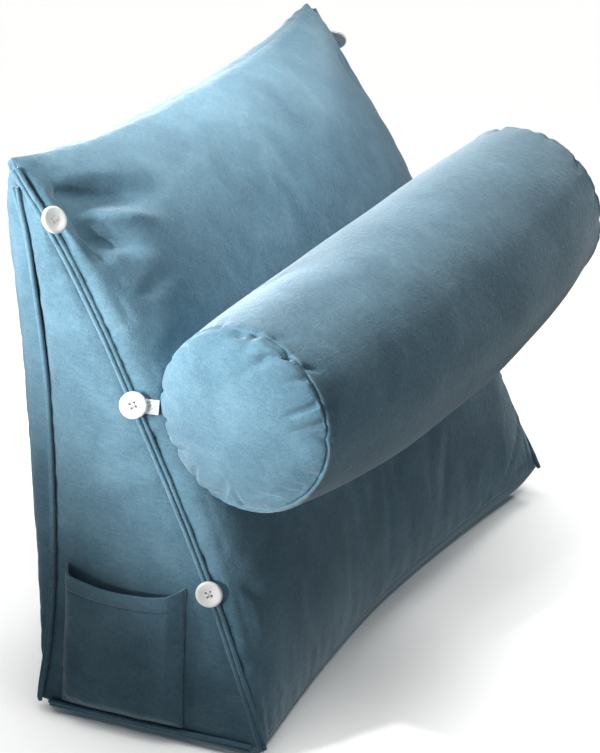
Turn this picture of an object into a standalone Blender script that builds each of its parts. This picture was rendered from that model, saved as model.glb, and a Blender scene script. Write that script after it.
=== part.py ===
# Wedge back cushion with a neck bolster buttoned across its front, for sitting up in bed.
# Metres, +Z up. The sloping front faces -Y, and the pocket is on the -X side.
# The origin is on the floor, in the middle of the wedge's base.

import math

import bmesh
import bpy
from mathutils import Euler, Matrix, Vector
from mathutils.bvhtree import BVHTree

# Wedge: the size that its cover is cut to
WIDTH = 0.500
HEIGHT = 0.460
DEPTH = 0.200
CORNER_LIFT = 0.003

# How far the filling and the seams pull each sewn corner from the cut size, in metres
# name, x, y, z
CORNER_PULL = {
    "top_left": (0.0071, -0.0098, -0.0004),
    "top_right": (-0.0058, 0.0015, -0.0153),
    "back_left": (-0.0030, 0.0012, 0.0075),
    "back_right": (0.0036, 0.0039, 0.0075),
    "front_left": (-0.0017, 0.0030, 0.0080),
    "front_right": (0.0096, -0.0071, 0.0209),
}

# How far each seam bows between its corners, and how square its ends are (2 is a plain arc)
# name, bow inwards (x), bow in y, bow in z, roundness
SEAM_BOW = {
    "side_front": (0.0122, -0.0066, 0.0029, 2.59),
    "side_back": (0.0163, -0.0135, 0.0, 2.47),
    "ridge": (0.0, -0.0133, -0.0144, 3.16),
    "base_front": (0.0, 0.0238, 0.0, 1.67),
    "base_back": (0.0, -0.0238, 0.0, 1.67),
    "base_side": (0.0, 0.0, 0.0, 2.0),
}

# How far each panel swells over its seams, and the profile of the swell:
# a high roundness is flat in the middle, and a low edge power is steep at the seams
# name, height, roundness across, edge power across, roundness down, edge power down, middle shift
CROWN = {
    "front": (0.0483, 3.04, 0.30, 2.74, 0.76, 0.78),
    "back": (0.0619, 3.04, 0.30, 2.74, 0.76, 0.78),
    "side": (0.0100, 3.0, 0.60, 3.0, 0.60, 1.30),
}
BASE_ROLL = 0.028

# Soft folds pressed into the front panel, from one corner of the panel's own grid:
# across from the left seam, down from the ridge, both 0 to 1, then the same for the far end
# name, across, down, far across, far down, half width, depth
FRONT_FOLDS = {
    "ear_hollow_left": (0.030, 0.060, 0.035, 0.200, 0.028, 0.0140),
    "ear_hollow_right": (0.970, 0.060, 0.965, 0.200, 0.028, 0.0100),
    "ear_fold": (0.040, 0.070, 0.200, 0.105, 0.010, 0.0050),
    "low_crease": (0.300, 0.800, 0.420, 0.860, 0.014, 0.0030),
}

# Neck bolster
BOLSTER_LENGTH = 0.4630
BOLSTER_SEAM_RADIUS = 0.0727
BOLSTER_MIDDLE_RADIUS = 0.0850
BOLSTER_ROUNDNESS = 2.4
BOLSTER_DOME = 0.0198
BOLSTER_DOME_ROUNDNESS = 1.7
BOLSTER_CENTRE = Vector((-0.0010, -0.0993, 0.2815))
BOLSTER_PITCH = math.radians(-1.6)
BOLSTER_YAW = math.radians(-3.0)
# How far its middle sags from the line between its ends, in its own y and z
BOLSTER_SAG = (-0.0040, -0.0085)
CAP_GROOVE = 0.0016
PRESSED_SHARE = 0.5
CONTACT_GAP = 0.0020

# Welts along the side seams
WELT_RADIUS = 0.0022
WELT_SPACING = 0.020
CORNER_GAP = 0.009
BACK_WELT_START = 0.022
GAP = 0.0003

# Buttons, four holes each, on the front welts: the place down the seam, 0 at the top corner,
# and the way each one faces
# name, place, x, y, z
BUTTONS = {
    "top_left": (0.111, -0.25, -0.84, 0.48),
    "middle_left": (0.418, -0.84, -0.46, 0.29),
    "low_left": (0.737, -0.93, -0.34, 0.13),
    "top_right": (0.100, 0.82, 0.32, 0.47),
    "middle_right": (0.418, 0.84, -0.46, 0.29),
    "low_right": (0.737, 0.93, -0.34, 0.13),
}
BUTTON_RADIUS = 0.0105
BUTTON_THICKNESS = 0.0036
BUTTON_DISH_RADIUS = 0.0062
BUTTON_DISH_DEPTH = 0.0012
BUTTON_HOLE_RADIUS = 0.0009
BUTTON_HOLE_SPREAD = 0.0017

# Elastic loops that hold the bolster to the middle buttons
LOOP_THICKNESS = 0.0015
LOOP_RING_RADIUS = 0.0070
LOOP_STRAP_WIDTH = 0.0110
LOOP_EYE_RADIUS = 0.0024
SHANK_RADIUS = 0.0019

# Patch pocket on the left side, in the side panel's y and z
# corner, y, z
POCKET_CORNERS = {
    "mouth_back": (0.0715, 0.1325),
    "mouth_front": (-0.0350, 0.1340),
    "foot_back": (0.0800, 0.0150),
    "foot_front": (-0.0290, 0.0155),
}
POCKET_SAG = 0.0065
POCKET_ROOM = 0.0105
POCKET_EDGE = 0.10
POCKET_CLOTH = 0.0020
POCKET_HEM = 0.0032
POCKET_HEM_DEPTH = 0.013

# Grid steps
ACROSS = 22
DOWN = 22
THROUGH = 10
BOLSTER_AROUND = 36
POCKET_STEPS = 11

SUEDE_BLUE = (0.125, 0.255, 0.345)
BUTTON_WHITE = (0.82, 0.82, 0.80)
ELASTIC_WHITE = (0.78, 0.78, 0.76)

SIDES = {"left": -1, "right": 1}
FRONT_NORMAL = Vector((0.0, -HEIGHT, DEPTH)).normalized()
BACK_NORMAL = Vector((0.0, 1.0, 0.0))


def clear_scene():
    for obj in list(bpy.data.objects):
        bpy.data.objects.remove(obj, do_unlink=True)


def new_collection(name, hidden=False):
    collection = bpy.data.collections.new(name)
    bpy.context.scene.collection.children.link(collection)
    collection.hide_render = hidden
    return collection


def new_material(name, colour, roughness, metallic=0.0):
    material = bpy.data.materials.new(name)
    material.use_nodes = True
    shader = material.node_tree.nodes["Principled BSDF"]
    shader.inputs["Base Color"].default_value = (*colour, 1.0)
    shader.inputs["Roughness"].default_value = roughness
    shader.inputs["Metallic"].default_value = metallic
    return material


def new_object(name, data, collection, material):
    obj = bpy.data.objects.new(name, data)
    data.materials.append(material)
    collection.objects.link(obj)
    return obj


def mesh_object(name, shape, collection, material):
    """Turns a bmesh into a smooth-shaded object."""
    mesh = bpy.data.meshes.new(name)
    shape.to_mesh(mesh)
    shape.free()
    mesh.shade_smooth()
    return new_object(name, mesh, collection, material)


# Seams and panels of the wedge


def corner(name):
    """A sewn corner: the cut wedge's corner, plus what the filling pulls it by."""
    x = WIDTH / 2 if name.endswith("right") else -WIDTH / 2
    y = -DEPTH / 2 if name.startswith("front") else DEPTH / 2
    z = HEIGHT if name.startswith("top") else 0.0
    return Vector((x, y, z + CORNER_LIFT)) + Vector(CORNER_PULL[name])


def seam(start, end, bow_name, inward=1):
    """A curve from one corner to another, bowed by its row of SEAM_BOW."""
    bow_x, bow_y, bow_z, roundness = SEAM_BOW[bow_name]
    bow = Vector((inward * bow_x, bow_y, bow_z))
    first = corner(start)
    last = corner(end)

    def point(t):
        return first.lerp(last, t) + bow * (1 - abs(2 * t - 1) ** roundness)

    return point


def swell(t, roundness, edge_power):
    """0 at both seams, 1 in the middle."""
    return max(0.0, 1 - abs(2 * t - 1) ** roundness) ** edge_power


def crown_height(panel, across, down):
    height, round_across, edge_across, round_down, edge_down, shift = CROWN[panel]
    return (
        height
        * swell(across, round_across, edge_across)
        * swell(down**shift, round_down, edge_down)
    )


def sewn_panel(top, bottom, left, right):
    """The plain sheet between four seams, before it swells."""

    def point(across, down):
        ruled = top(across) * (1 - down) + bottom(across) * down
        ruled += left(down) * (1 - across) + right(down) * across
        corners = top(0) * (1 - across) * (1 - down) + top(1) * across * (1 - down)
        corners += bottom(0) * (1 - across) * down + bottom(1) * across * down
        return ruled - corners

    return point


def seam_set():
    """The nine seams of the wedge, by name."""
    seams = {
        "ridge": seam("top_left", "top_right", "ridge"),
        "base_front": seam("front_left", "front_right", "base_front"),
        "base_back": seam("back_left", "back_right", "base_back"),
    }
    for side, sign in SIDES.items():
        for name, start, end in (
            ("side_front", "top", "front"),
            ("side_back", "top", "back"),
            ("base_side", "back", "front"),
        ):
            seams[f"{name}_{side}"] = seam(f"{start}_{side}", f"{end}_{side}", name, -sign)
    return seams


# Bolster


def bolster_frame():
    """Places the bolster: its own X is its axis."""
    turn = Euler((0.0, BOLSTER_PITCH, BOLSTER_YAW)).to_matrix().to_4x4()
    return Matrix.Translation(BOLSTER_CENTRE) @ turn


def bolster_radius(along):
    """Radius at a point of the axis, -0.5 at the left cap seam and 0.5 at the right one."""
    fullness = 1 - abs(2 * along) ** BOLSTER_ROUNDNESS
    return BOLSTER_SEAM_RADIUS + (BOLSTER_MIDDLE_RADIUS - BOLSTER_SEAM_RADIUS) * fullness


def bolster_sag(along):
    """Where the axis runs, in its own y and z, at the same point."""
    return Vector(BOLSTER_SAG) * max(0.0, 1 - (2 * along) ** 2)


def bolster_press(point, frame_inverse, normal_inside):
    """How far the wedge's front has to go in at this point to leave the round bolster whole."""
    local = frame_inverse @ point
    along = local.x / BOLSTER_LENGTH
    if abs(along) > 0.5:
        return 0.0
    across = local.yz - bolster_sag(along)
    way = normal_inside.yz
    inside = across.length_squared - bolster_radius(along) ** 2
    if inside >= 0:
        return 0.0
    towards = across.dot(way)
    return (towards + math.sqrt(towards**2 - way.length_squared * inside)) / way.length_squared


def bolster_stations():
    """(distance along the axis, radius) from the middle of the left cap to that of the right."""
    half = BOLSTER_LENGTH / 2
    power = 2 / BOLSTER_DOME_ROUNDNESS
    dome = [
        (
            half + BOLSTER_DOME * math.cos(math.radians(turn)) ** power,
            BOLSTER_SEAM_RADIUS * math.sin(math.radians(turn)) ** power,
        )
        for turn in (0, 14, 32, 52, 72)
    ]
    groove = [
        (half + 0.0030, BOLSTER_SEAM_RADIUS - 0.0004),
        (half, BOLSTER_SEAM_RADIUS - CAP_GROOVE),
        (half - 0.0030, BOLSTER_SEAM_RADIUS + 0.0002),
    ]
    body = [
        (BOLSTER_LENGTH * along, bolster_radius(along))
        for along in (0.455, 0.40, 0.31, 0.205, 0.10, 0.0)
    ]
    right = dome + groove + body
    return [(-along, radius) for along, radius in right[:-1]] + right[::-1]


# Mesh building


def grid(across_steps, down_steps, place):
    """A grid of faces with each point placed by a function of (across, down), both 0 to 1."""
    shape = bmesh.new()
    bmesh.ops.create_grid(shape, x_segments=across_steps, y_segments=down_steps, size=0.5)
    for vertex in shape.verts:
        vertex.co = place(vertex.co.x + 0.5, 0.5 - vertex.co.y)
    return shape


def towards_seams(t):
    """Spaces grid lines closer together near the seams."""
    return 0.5 - 0.5 * math.cos(math.pi * t)


def weld(panels):
    """Sews panels that share their edge points into one closed skin."""
    whole = bmesh.new()
    for panel in panels:
        mesh = bpy.data.meshes.new("panel")
        panel.to_mesh(mesh)
        panel.free()
        whole.from_mesh(mesh)
        bpy.data.meshes.remove(mesh)
    bmesh.ops.remove_doubles(whole, verts=whole.verts, dist=1e-6)
    bmesh.ops.recalc_face_normals(whole, faces=whole.faces)
    return whole


def fold_depth(point):
    """How far the soft folds draw the front panel in at this point."""
    depth = 0.0
    for across, down, far_across, far_down, half_width, deepest in FRONT_FOLDS.values():
        start = front_flat(across, down)
        run = front_flat(far_across, far_down) - start
        share = min(1.0, max(0.0, (point - start).dot(run) / run.length_squared))
        away = (point - start - run * share).length / half_width
        depth += deepest * math.exp(-away * away) * math.sin(math.pi * (0.1 + 0.8 * share))
    return depth


def front_flat(across, down):
    """A place on the front panel as cut, by its share across and down."""
    slope = Vector((0.0, -DEPTH, -HEIGHT))
    return Vector((WIDTH * (across - 0.5), DEPTH / 2, HEIGHT)) + slope * down


def front_panel(seams):
    sheet = sewn_panel(
        seams["ridge"], seams["base_front"], seams["side_front_left"], seams["side_front_right"]
    )
    frame_inverse = bolster_frame().inverted()
    normal_inside = frame_inverse.to_3x3() @ FRONT_NORMAL

    def place(across, down):
        across = towards_seams(across)
        down = towards_seams(down)
        point = sheet(across, down) + FRONT_NORMAL * crown_height("front", across, down)
        pressed = PRESSED_SHARE * bolster_press(point, frame_inverse, normal_inside)
        edge = min(1.0, across / 0.03, (1 - across) / 0.03, down / 0.04, (1 - down) / 0.04)
        pressed += edge * fold_depth(front_flat(across, down))
        return point - FRONT_NORMAL * pressed

    return grid(ACROSS, DOWN, place)


def back_panel(seams):
    sheet = sewn_panel(
        seams["ridge"], seams["base_back"], seams["side_back_left"], seams["side_back_right"]
    )

    def place(across, down):
        across = towards_seams(across)
        down = towards_seams(down)
        return sheet(across, down) + BACK_NORMAL * crown_height("back", across, down)

    return grid(ACROSS, DOWN, place)


def side_panel(seams, side, sign):
    """A three-cornered panel: its top row of points meets in the ridge's corner."""

    def place(across, down):
        across = towards_seams(across)
        down = towards_seams(down)
        sheet = seams[f"side_back_{side}"](down).lerp(seams[f"side_front_{side}"](down), across)
        sheet += seams[f"base_side_{side}"](across) - seams[f"base_side_{side}"](0).lerp(
            seams[f"base_side_{side}"](1), across
        )
        sheet.x += sign * crown_height("side", across, down)
        return sheet

    return grid(THROUGH, DOWN, place)


def base_panel(seams):
    """The base rolls down from its seams, in a quarter circle, to a flat on the floor."""

    def place(across, through):
        across = towards_seams(across)
        through = towards_seams(through)
        sheet = seams["base_back"](across).lerp(seams["base_front"](across), through)
        flat = 1.0
        for room in (across * WIDTH, (1 - across) * WIDTH, through * DEPTH, (1 - through) * DEPTH):
            # Rounded so that the seam's own points stay exactly on the seam
            left = 1 - min(1.0, round(room, 5) / BASE_ROLL)
            flat *= math.sqrt(1 - left * left)
        sheet.z *= 1 - flat
        return sheet

    return grid(ACROSS, THROUGH, place)


def make_wedge(seams, collection, material):
    panels = [front_panel(seams), back_panel(seams), base_panel(seams)]
    panels += [side_panel(seams, side, sign) for side, sign in SIDES.items()]
    skin = weld(panels)
    tree = BVHTree.FromBMesh(skin)
    mesh_object("wedge_cushion", skin, collection, material)
    return tree


def make_bolster(wedge, collection, material):
    """A turned shape with sewn caps, pressed flat where it lies on the wedge."""
    stations = bolster_stations()
    steps = len(stations) - 1
    frame = bolster_frame()

    def place(around, along):
        distance, radius = stations[round(along * steps)]
        angle = 2 * math.pi * around
        sag_y, sag_z = bolster_sag(distance / BOLSTER_LENGTH)
        across = (sag_y + radius * math.cos(angle), sag_z + radius * math.sin(angle))
        return rest_on(wedge, frame @ Vector((distance, *across)))

    skin = weld([grid(BOLSTER_AROUND, steps, place)])
    tree = BVHTree.FromBMesh(skin)
    mesh_object("bolster", skin, collection, material)
    return tree


def rest_on(wedge, point):
    """Moves a point that would lie in the wedge out to its front, square to the front."""
    reach = 0.4
    hit = wedge.ray_cast(point + FRONT_NORMAL * reach, -FRONT_NORMAL)[0]
    if hit is None:
        return point
    short = CONTACT_GAP - (point - hit).dot(FRONT_NORMAL)
    return point + FRONT_NORMAL * max(0.0, short)


# Welts


def clear_of(solid, place, room):
    """Whether a ball of this radius at this place misses the solid."""
    near, normal, _, distance = solid.find_nearest(place)
    return distance >= room and (place - near).dot(normal) > 0


def surface_way(solid, place, reach):
    """The way out of a solid near a place on its skin, over its faces within reach."""
    way = Vector()
    for _, normal, _, _ in solid.find_nearest_range(place, reach):
        way += normal
    return way.normalized()


def push_out(solid, place, way, room):
    """Moves a place outwards until a ball of this radius there misses the solid."""
    distance = room
    while not clear_of(solid, place + way * distance, room):
        distance += 0.0001
    return place + way * distance


def points_along(curve, trim_start, trim_end, spacing):
    """Evenly spaced points of a curve, between two lengths trimmed from its ends."""
    fine = [curve(i / 200) for i in range(201)]
    lengths = [0.0]
    for first, second in zip(fine, fine[1:]):
        lengths.append(lengths[-1] + (second - first).length)
    run = lengths[-1] - trim_start - trim_end
    count = round(run / spacing)
    points = []
    for i in range(count + 1):
        wanted = trim_start + run * i / count
        index = max(k for k in range(200) if lengths[k] <= wanted)
        share = (wanted - lengths[index]) / (lengths[index + 1] - lengths[index])
        points.append(fine[index].lerp(fine[index + 1], share))
    return points


def welt_path(wedge, curve, trim_start, trim_end):
    """The middle line of a welt that lies along a seam, just outside the wedge."""
    seam_points = points_along(curve, trim_start, trim_end, WELT_SPACING)
    ways = [surface_way(wedge, point, 0.010) for point in seam_points]
    room = WELT_RADIUS + 2 * GAP
    path = []
    for index, point in enumerate(seam_points):
        near = ways[max(0, index - 1) : index + 2]
        way = sum(near, Vector()).normalized()
        path.append(push_out(wedge, point, way, room))
    return path


def tube(name, points, radius, collection, material):
    curve = bpy.data.curves.new(name, "CURVE")
    curve.dimensions = "3D"
    curve.bevel_depth = radius
    curve.bevel_resolution = 2
    curve.use_fill_caps = True
    spline = curve.splines.new("POLY")
    spline.points.add(len(points) - 1)
    for target, point in zip(spline.points, points):
        target.co = (*point, 1.0)
    return new_object(name, curve, collection, material)


def make_welts(seams, wedge, collection, material):
    """Returns each welt's middle line, by name."""
    trims = {
        "side_front": ("front_welt", CORNER_GAP, 0.0),
        "side_back": ("back_welt", BACK_WELT_START, 0.0),
        "base_side": ("base_welt", CORNER_GAP, CORNER_GAP),
    }
    paths = {}
    for side in SIDES:
        for name, (label, start, end) in trims.items():
            path = welt_path(wedge, seams[f"{name}_{side}"], start, end)
            tube(f"{label}_{side}", path, WELT_RADIUS, collection, material)
            paths[f"{label}_{side}"] = path
    return paths


# Buttons and loops


def button_mesh():
    """One button, its back on the XY plane: a turned, dished disc with four holes."""
    rim = BUTTON_THICKNESS
    dish = rim - BUTTON_DISH_DEPTH
    profile = [
        (BUTTON_RADIUS - 0.0010, 0.0),
        (BUTTON_RADIUS, 0.0012),
        (BUTTON_RADIUS, 0.0026),
        (BUTTON_RADIUS - 0.0014, rim),
        (BUTTON_DISH_RADIUS + 0.0010, rim),
        (BUTTON_DISH_RADIUS, dish),
    ]
    shape = bmesh.new()
    points = [shape.verts.new((radius, 0.0, height)) for radius, height in profile]
    edges = [shape.edges.new(pair) for pair in zip(points, points[1:])]
    bmesh.ops.spin(
        shape, geom=points + edges, cent=(0, 0, 0), axis=(0, 0, 1), angle=2 * math.pi, steps=24
    )
    bmesh.ops.remove_doubles(shape, verts=shape.verts, dist=1e-6)
    open_edges = [edge for edge in shape.edges if edge.is_boundary]
    bmesh.ops.holes_fill(shape, edges=open_edges, sides=0)
    bmesh.ops.recalc_face_normals(shape, faces=shape.faces)
    mesh = bpy.data.meshes.new("button")
    shape.to_mesh(mesh)
    shape.free()
    return mesh


def make_hole_cutter(collection):
    """Four pins, longer than the button is thick, in one mesh."""
    shape = bmesh.new()
    for x in (-BUTTON_HOLE_SPREAD, BUTTON_HOLE_SPREAD):
        for y in (-BUTTON_HOLE_SPREAD, BUTTON_HOLE_SPREAD):
            bmesh.ops.create_cone(
                shape,
                cap_ends=True,
                segments=8,
                radius1=BUTTON_HOLE_RADIUS,
                radius2=BUTTON_HOLE_RADIUS,
                depth=4 * BUTTON_THICKNESS,
                matrix=Matrix.Translation((x, y, 0.0)),
            )
    mesh = bpy.data.meshes.new("thread_hole_cutter")
    shape.to_mesh(mesh)
    shape.free()
    cutter = bpy.data.objects.new("thread_hole_cutter", mesh)
    collection.objects.link(cutter)
    cutter.hide_render = True
    cutter.display_type = "WIRE"
    return cutter


def facing(place, outward, along):
    """A frame at a place with its Z outward and its X near a given direction."""
    z = outward.normalized()
    x = (along - z * along.dot(z)).normalized()
    y = z.cross(x)
    turn = Matrix((x, y, z)).transposed().to_4x4()
    return Matrix.Translation(place) @ turn


def nearest_on_path(path, place):
    """The point of a line of points that is nearest to a place."""
    best = None
    for first, second in zip(path, path[1:]):
        run = second - first
        share = min(1.0, max(0.0, (place - first).dot(run) / run.length_squared))
        point = first + run * share
        if best is None or (point - place).length < (best - place).length:
            best = point
    return best


def button_seat(wedge, welt, middle, outward, strap):
    """Where a button, or the loop under it, lies on its welt and clear of the wedge."""
    turn = facing(middle, outward, Vector((0.0, 0.0, 1.0))).to_3x3()
    back = [
        turn @ Vector((radius * math.cos(angle), radius * math.sin(angle), 0.0))
        for angle in (i * math.pi / 8 for i in range(16))
        for radius in (BUTTON_RADIUS, BUTTON_RADIUS * 0.75, BUTTON_RADIUS / 2, BUTTON_RADIUS / 4)
    ]
    back += strap

    def is_clear(point):
        off_welt = (point - nearest_on_path(welt, point)).length - WELT_RADIUS
        return clear_of(wedge, point, GAP) and off_welt > 1.5 * GAP

    height = WELT_RADIUS
    while not all(is_clear(middle + outward * height + point) for point in back):
        height += 0.0002
    return middle + outward * height


def make_buttons(seams, wedge, welts, bolster, parts, cutters, materials):
    source = button_mesh()
    cutter = make_hole_cutter(cutters)
    for name, (place, x, y, z) in BUTTONS.items():
        label, side = name.split("_")
        outward = Vector((x, y, z)).normalized()
        curve = seams[f"side_front_{side}"]
        welt = welts[f"front_welt_{side}"]
        middle = nearest_on_path(welt, curve(place))
        if label == "middle":
            towards = loop_way(side, middle, outward)
            seat = button_seat(wedge, welt, middle, outward, strap_points(outward, towards))
            make_loop(side, seat, outward, towards, bolster, parts, materials)
            make_shank(side, seat, outward, parts, materials)
            seat += outward * (LOOP_THICKNESS + GAP)
        else:
            seat = button_seat(wedge, welt, middle, outward, [])
        button = new_object(f"button_{name}", source.copy(), parts, materials["button"])
        button.matrix_world = facing(seat, outward, curve(place + 0.01) - curve(place))
        pins = cutter.copy()
        pins.name = f"thread_hole_cutter_{name}"
        pins.matrix_world = button.matrix_world
        cutters.objects.link(pins)
        cut = button.modifiers.new("thread holes", "BOOLEAN")
        cut.object = pins
    bpy.data.objects.remove(cutter, do_unlink=True)


def loop_way(side, place, outward):
    """From a middle button to the bolster's cap, square to the way the button faces."""
    cap = bolster_frame() @ Vector((SIDES[side] * BOLSTER_LENGTH / 2, 0.0, 0.0))
    towards = cap - place
    return (towards - outward * towards.dot(outward)).normalized()


def strap_points(outward, towards):
    """Places on the back of a loop's strap, from the middle of its ring."""
    across = outward.cross(towards)
    return [
        towards * distance + across * share * LOOP_STRAP_WIDTH
        for distance in (0.008, 0.012, 0.016, 0.020, 0.024)
        for share in (-0.5, 0.0, 0.5)
    ]


def make_shank(side, seat, outward, collection, materials):
    """The thread between the welt and a middle button, through the loop's eye."""
    height = LOOP_THICKNESS
    shape = bmesh.new()
    bmesh.ops.create_cone(
        shape, cap_ends=True, segments=12, radius1=SHANK_RADIUS, radius2=SHANK_RADIUS, depth=height
    )
    shank = mesh_object(f"thread_shank_{side}", shape, collection, materials["thread"])
    shank.matrix_world = facing(seat + outward * height / 2, outward, Vector((0.0, 0.0, 1.0)))


def make_loop(side, seat, outward, towards, bolster, collection, materials):
    """A flat elastic strap: a ring under the button, and a strip to the bolster's cap seam."""
    aim = seat + outward * LOOP_THICKNESS / 2
    frame = facing(aim, outward, towards)
    edges = [
        frame.to_3x3() @ Vector((0.0, LOOP_STRAP_WIDTH * share, LOOP_THICKNESS * level))
        for share in (-0.55, -0.25, 0.0, 0.25, 0.55)
        for level in (-0.6, 0.6)
    ]
    reach = min(bolster.ray_cast(aim + edge, towards)[3] for edge in edges) - 2 * GAP
    curve = bpy.data.curves.new(f"loop_{side}", "CURVE")
    curve.dimensions = "2D"
    curve.fill_mode = "BOTH"
    curve.extrude = LOOP_THICKNESS / 2
    half = LOOP_STRAP_WIDTH / 2
    start = math.asin(half / LOOP_RING_RADIUS)
    steps = 14
    turns = [start + (2 * math.pi - 2 * start) * i / steps for i in range(steps + 1)]
    outline = [(LOOP_RING_RADIUS * math.cos(a), LOOP_RING_RADIUS * math.sin(a)) for a in turns]
    outline += [(reach, -half), (reach, half)]
    eye = [2 * math.pi * i / 12 for i in range(12)]
    rim = [(LOOP_EYE_RADIUS * math.cos(a), LOOP_EYE_RADIUS * math.sin(a)) for a in eye]
    for points in (outline, rim):
        spline = curve.splines.new("POLY")
        spline.points.add(len(points) - 1)
        spline.use_cyclic_u = True
        for target, (x, y) in zip(spline.points, points):
            target.co = (x, y, 0.0, 1.0)
    loop = new_object(f"loop_{side}", curve, collection, materials["elastic"])
    loop.matrix_world = frame


# Pocket


def make_pocket(wedge, collection, material):
    """A patch pocket sewn down at both sides and its foot, standing open at its mouth."""
    corners = {name: Vector((0.0, y, z)) for name, (y, z) in POCKET_CORNERS.items()}
    foot = corners["foot_back"], corners["foot_front"]
    mouth = corners["mouth_back"], corners["mouth_front"]
    out = Vector((-1.0, 0.0, 0.0))

    def place(across, down):
        up = 1 - down
        flat = foot[0].lerp(foot[1], across).lerp(mouth[0].lerp(mouth[1], across), up)
        flat.z -= POCKET_SAG * swell(across, 2.4, 1.0) * up
        hit = wedge.ray_cast(flat + out, -out)[0]
        sides = min(1.0, across / POCKET_EDGE, (1 - across) / POCKET_EDGE)
        room = math.sin(sides * math.pi / 2) * math.sin(min(1.0, up / POCKET_EDGE) * math.pi / 2)
        return hit + out * (2 * GAP + POCKET_ROOM * room * (0.75 + 0.25 * up))

    sheet = grid(POCKET_STEPS, POCKET_STEPS, place)
    bmesh.ops.recalc_face_normals(sheet, faces=sheet.faces)
    if sum(face.normal.x for face in sheet.faces) > 0:
        bmesh.ops.reverse_faces(sheet, faces=sheet.faces)
    pocket = mesh_object("pocket", sheet, collection, material)
    thick = pocket.vertex_groups.new(name="hem")
    mouth_height = POCKET_CORNERS["mouth_back"][1] - POCKET_SAG
    for vertex in pocket.data.vertices:
        hem = vertex.co.z > mouth_height - POCKET_HEM_DEPTH
        thick.add([vertex.index], 1.0 if hem else POCKET_CLOTH / POCKET_HEM, "REPLACE")
    solid = pocket.modifiers.new("cloth", "SOLIDIFY")
    solid.thickness = POCKET_HEM
    solid.offset = 1.0
    solid.vertex_group = "hem"


def main():
    clear_scene()
    parts = new_collection("wedge_back_cushion")
    cutters = new_collection("cutters", hidden=True)
    materials = {
        "cloth": new_material("suede_cloth", SUEDE_BLUE, 0.95),
        "bolster": new_material("suede_cloth_bolster", SUEDE_BLUE, 0.95),
        "welt": new_material("suede_cloth_welt", SUEDE_BLUE, 0.95),
        "pocket": new_material("suede_cloth_pocket", SUEDE_BLUE, 0.95),
        "button": new_material("button_plastic", BUTTON_WHITE, 0.35),
        "elastic": new_material("elastic", ELASTIC_WHITE, 0.85),
        "thread": new_material("thread", ELASTIC_WHITE, 0.7),
    }
    seams = seam_set()
    wedge = make_wedge(seams, parts, materials["cloth"])
    bolster = make_bolster(wedge, parts, materials["bolster"])
    welts = make_welts(seams, wedge, parts, materials["welt"])
    make_buttons(seams, wedge, welts, bolster, parts, cutters, materials)
    make_pocket(wedge, parts, materials["pocket"])


main()
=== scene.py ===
import math

import bmesh
import bpy
import numpy as np
from mathutils import Euler, Matrix, Vector, noise
from mathutils.bvhtree import BVHTree


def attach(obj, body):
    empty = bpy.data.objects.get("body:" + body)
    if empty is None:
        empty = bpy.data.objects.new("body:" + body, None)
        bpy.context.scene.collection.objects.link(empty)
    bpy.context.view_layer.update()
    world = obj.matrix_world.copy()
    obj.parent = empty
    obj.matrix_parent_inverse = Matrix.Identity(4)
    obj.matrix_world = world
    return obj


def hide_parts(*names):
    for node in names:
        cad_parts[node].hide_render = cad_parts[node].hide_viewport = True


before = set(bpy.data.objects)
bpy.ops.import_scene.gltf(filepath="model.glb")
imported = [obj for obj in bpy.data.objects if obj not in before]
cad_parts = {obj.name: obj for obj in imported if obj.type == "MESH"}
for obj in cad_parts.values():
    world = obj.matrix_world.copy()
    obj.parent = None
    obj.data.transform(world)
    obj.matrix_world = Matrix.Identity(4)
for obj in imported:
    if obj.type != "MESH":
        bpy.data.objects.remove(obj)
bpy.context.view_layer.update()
sides = {"left": -1, "right": 1}
print("frame loaded:", len(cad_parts), "nodes")


# Colours and nodes

def linearColour(hexCode, shade=1.0):
    # The linear colour, with its alpha, of a colour as a screen shows it
    values = [int(hexCode[i:i + 2], 16) / 255 for i in (1, 3, 5)]
    linear = [v / 12.92 if v <= 0.04045 else ((v + 0.055) / 1.055) ** 2.4 for v in values]
    return (*(v * shade for v in linear), 1.0)


def setInputs(tree, node, values):
    # Sets options and sockets, and links a socket whose value is a socket of another node
    for key, value in values.items():
        if isinstance(value, bpy.types.NodeSocket):
            tree.links.new(value, node.inputs[key])
        elif isinstance(key, int) or key in node.inputs:
            node.inputs[key].default_value = value
        else:
            setattr(node, key, value)


def addNode(tree, kind, values=None):
    node = tree.nodes.new(kind)
    setInputs(tree, node, values or {})
    return node


def newMaterial(name):
    material = bpy.data.materials.new(name)
    material.use_nodes = True
    tree = material.node_tree
    place = addNode(tree, "ShaderNodeTexCoord").outputs["Object"]
    return material, tree, tree.nodes["Principled BSDF"], place


def noiseNode(tree, vector, layer):
    # A layer: size of its pattern in mm, detail, roughness and distortion
    featureMm, detail, roughness, distortion = layer
    return addNode(tree, "ShaderNodeTexNoise", {
        "Scale": 1000 / featureMm, "Detail": detail, "Roughness": roughness,
        "Distortion": distortion, "Vector": vector,
    }).outputs["Fac"]


def rangeNode(tree, source, low, high, start=0.0, end=1.0):
    return addNode(tree, "ShaderNodeMapRange", {
        "From Min": start, "From Max": end, "To Min": low, "To Max": high, "Value": source,
    }).outputs["Result"]


def rampNode(tree, source, stops):
    # Colours along a value, the two ends first
    ramp = addNode(tree, "ShaderNodeValToRGB", {"Fac": source})
    spots = ramp.color_ramp.elements
    for number, (position, colour) in enumerate(stops):
        spot = spots[number] if number < 2 else spots.new(position)
        spot.position, spot.color = position, colour
    return ramp.outputs["Color"]


def bumpNode(tree, height, strength, distance, under=None):
    values = {"Strength": strength, "Distance": distance, "Height": height}
    if under is not None:
        values["Normal"] = under
    return addNode(tree, "ShaderNodeBump", values).outputs["Normal"]


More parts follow.
